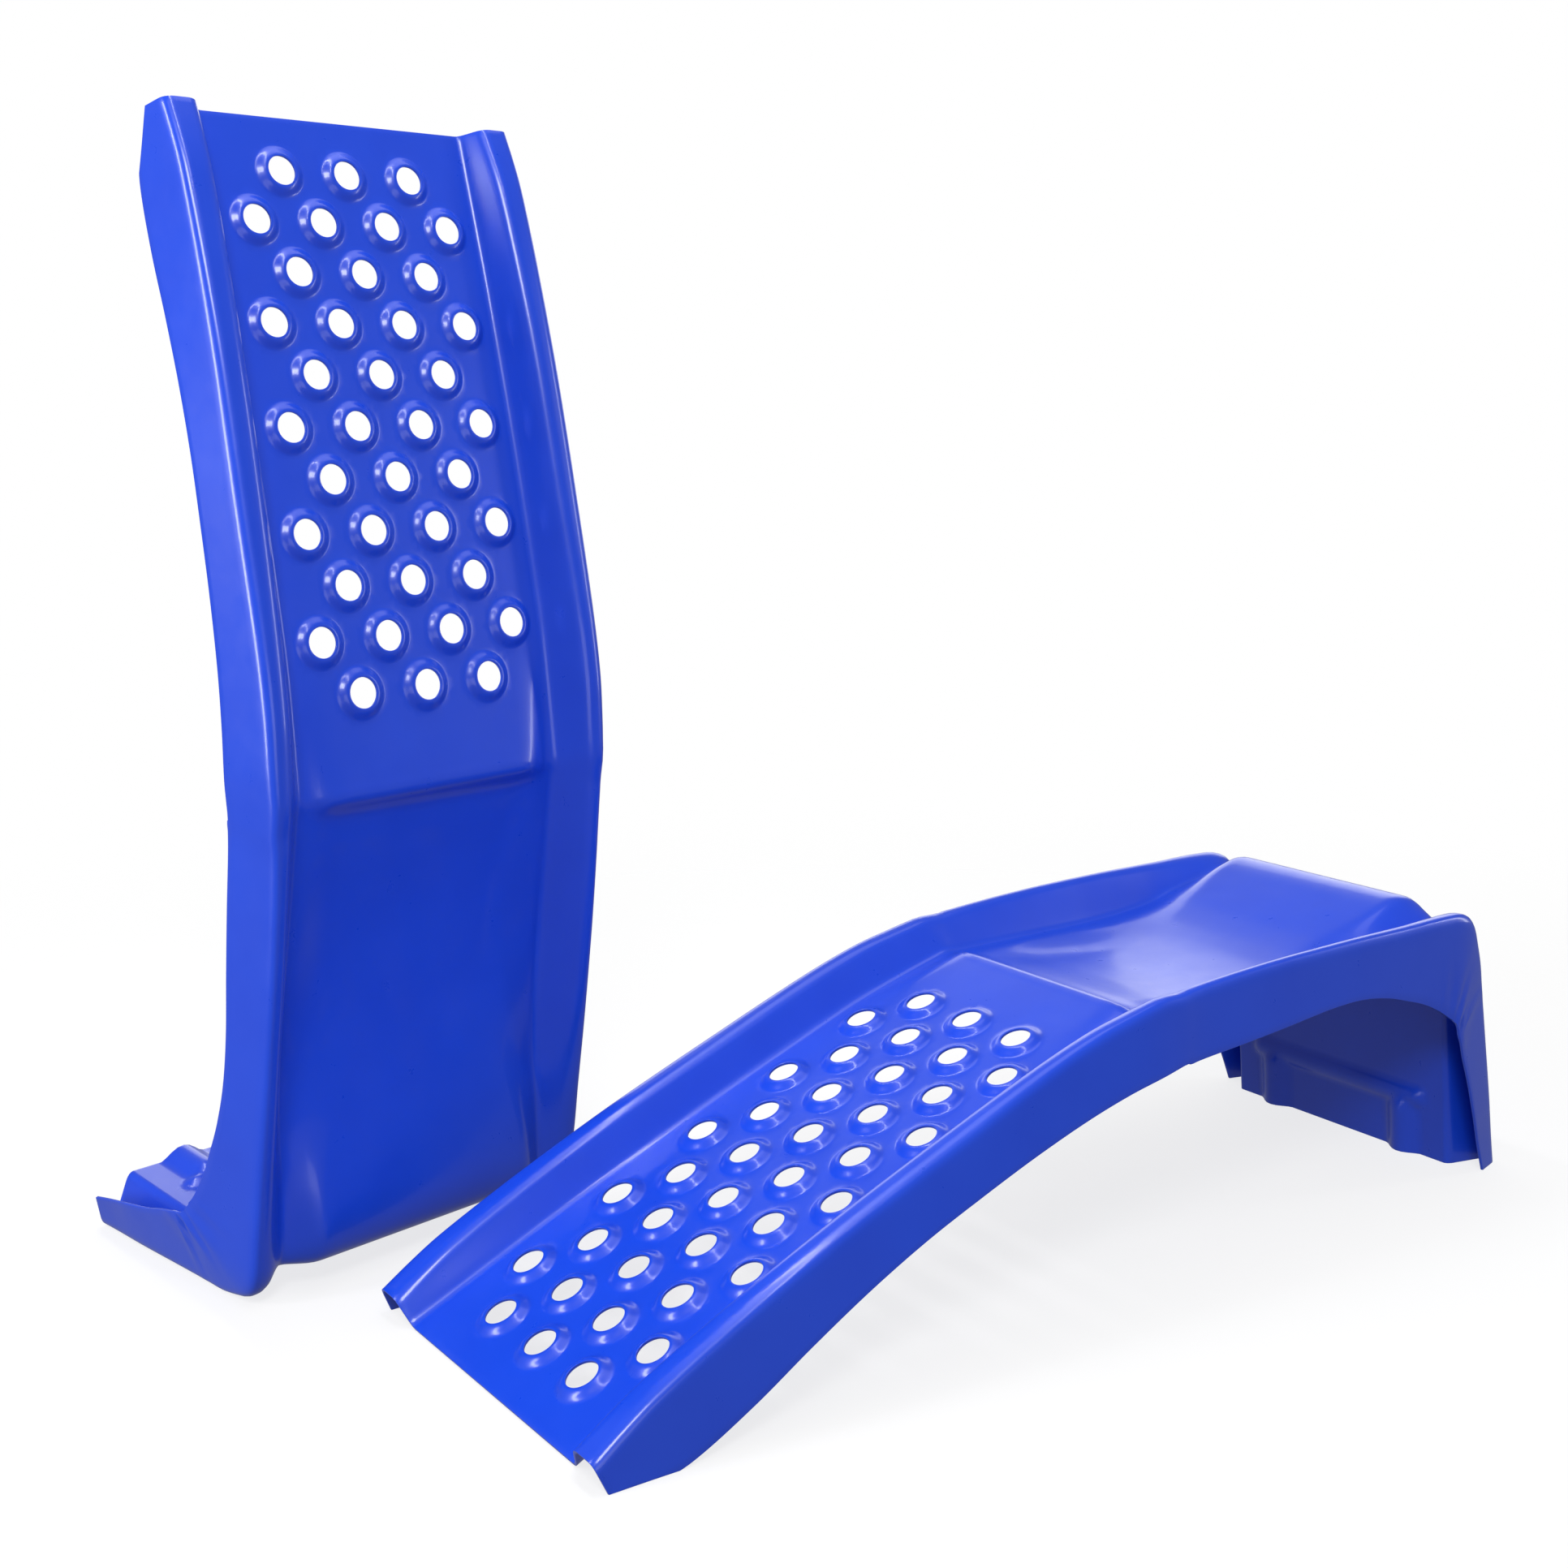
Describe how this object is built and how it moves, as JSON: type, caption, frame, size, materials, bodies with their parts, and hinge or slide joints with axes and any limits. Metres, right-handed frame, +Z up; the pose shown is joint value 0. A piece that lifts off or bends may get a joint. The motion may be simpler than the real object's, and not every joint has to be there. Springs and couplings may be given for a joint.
{
  "type": "wheel ramp pair",
  "caption": "Pressed sheet steel wheel ramps with a perforated incline, dished cradle, wheel stop, side flanges and rear leg; one lies ready for use and one stands on its leg.",
  "frame": {"origin": "centre of the pair's outline on the floor", "axes": "+X from the lip to the leg of the lying ramp, +Z up from the floor"},
  "size_m": [0.9562, 0.6238, 0.8327],
  "materials": {
    "blue_enamel": "gloss"
  },
  "bodies": {
    "lying": {"lying_ramp": "blue_enamel"},
    "upright": {"upright_ramp": "blue_enamel"}
  },
  "joints": [
    {"name": "upright_lift", "type": "slide", "parent": "lying", "child": "upright", "axis": [0, 0, 1], "range_m": [0, 0.3]}
  ]
}
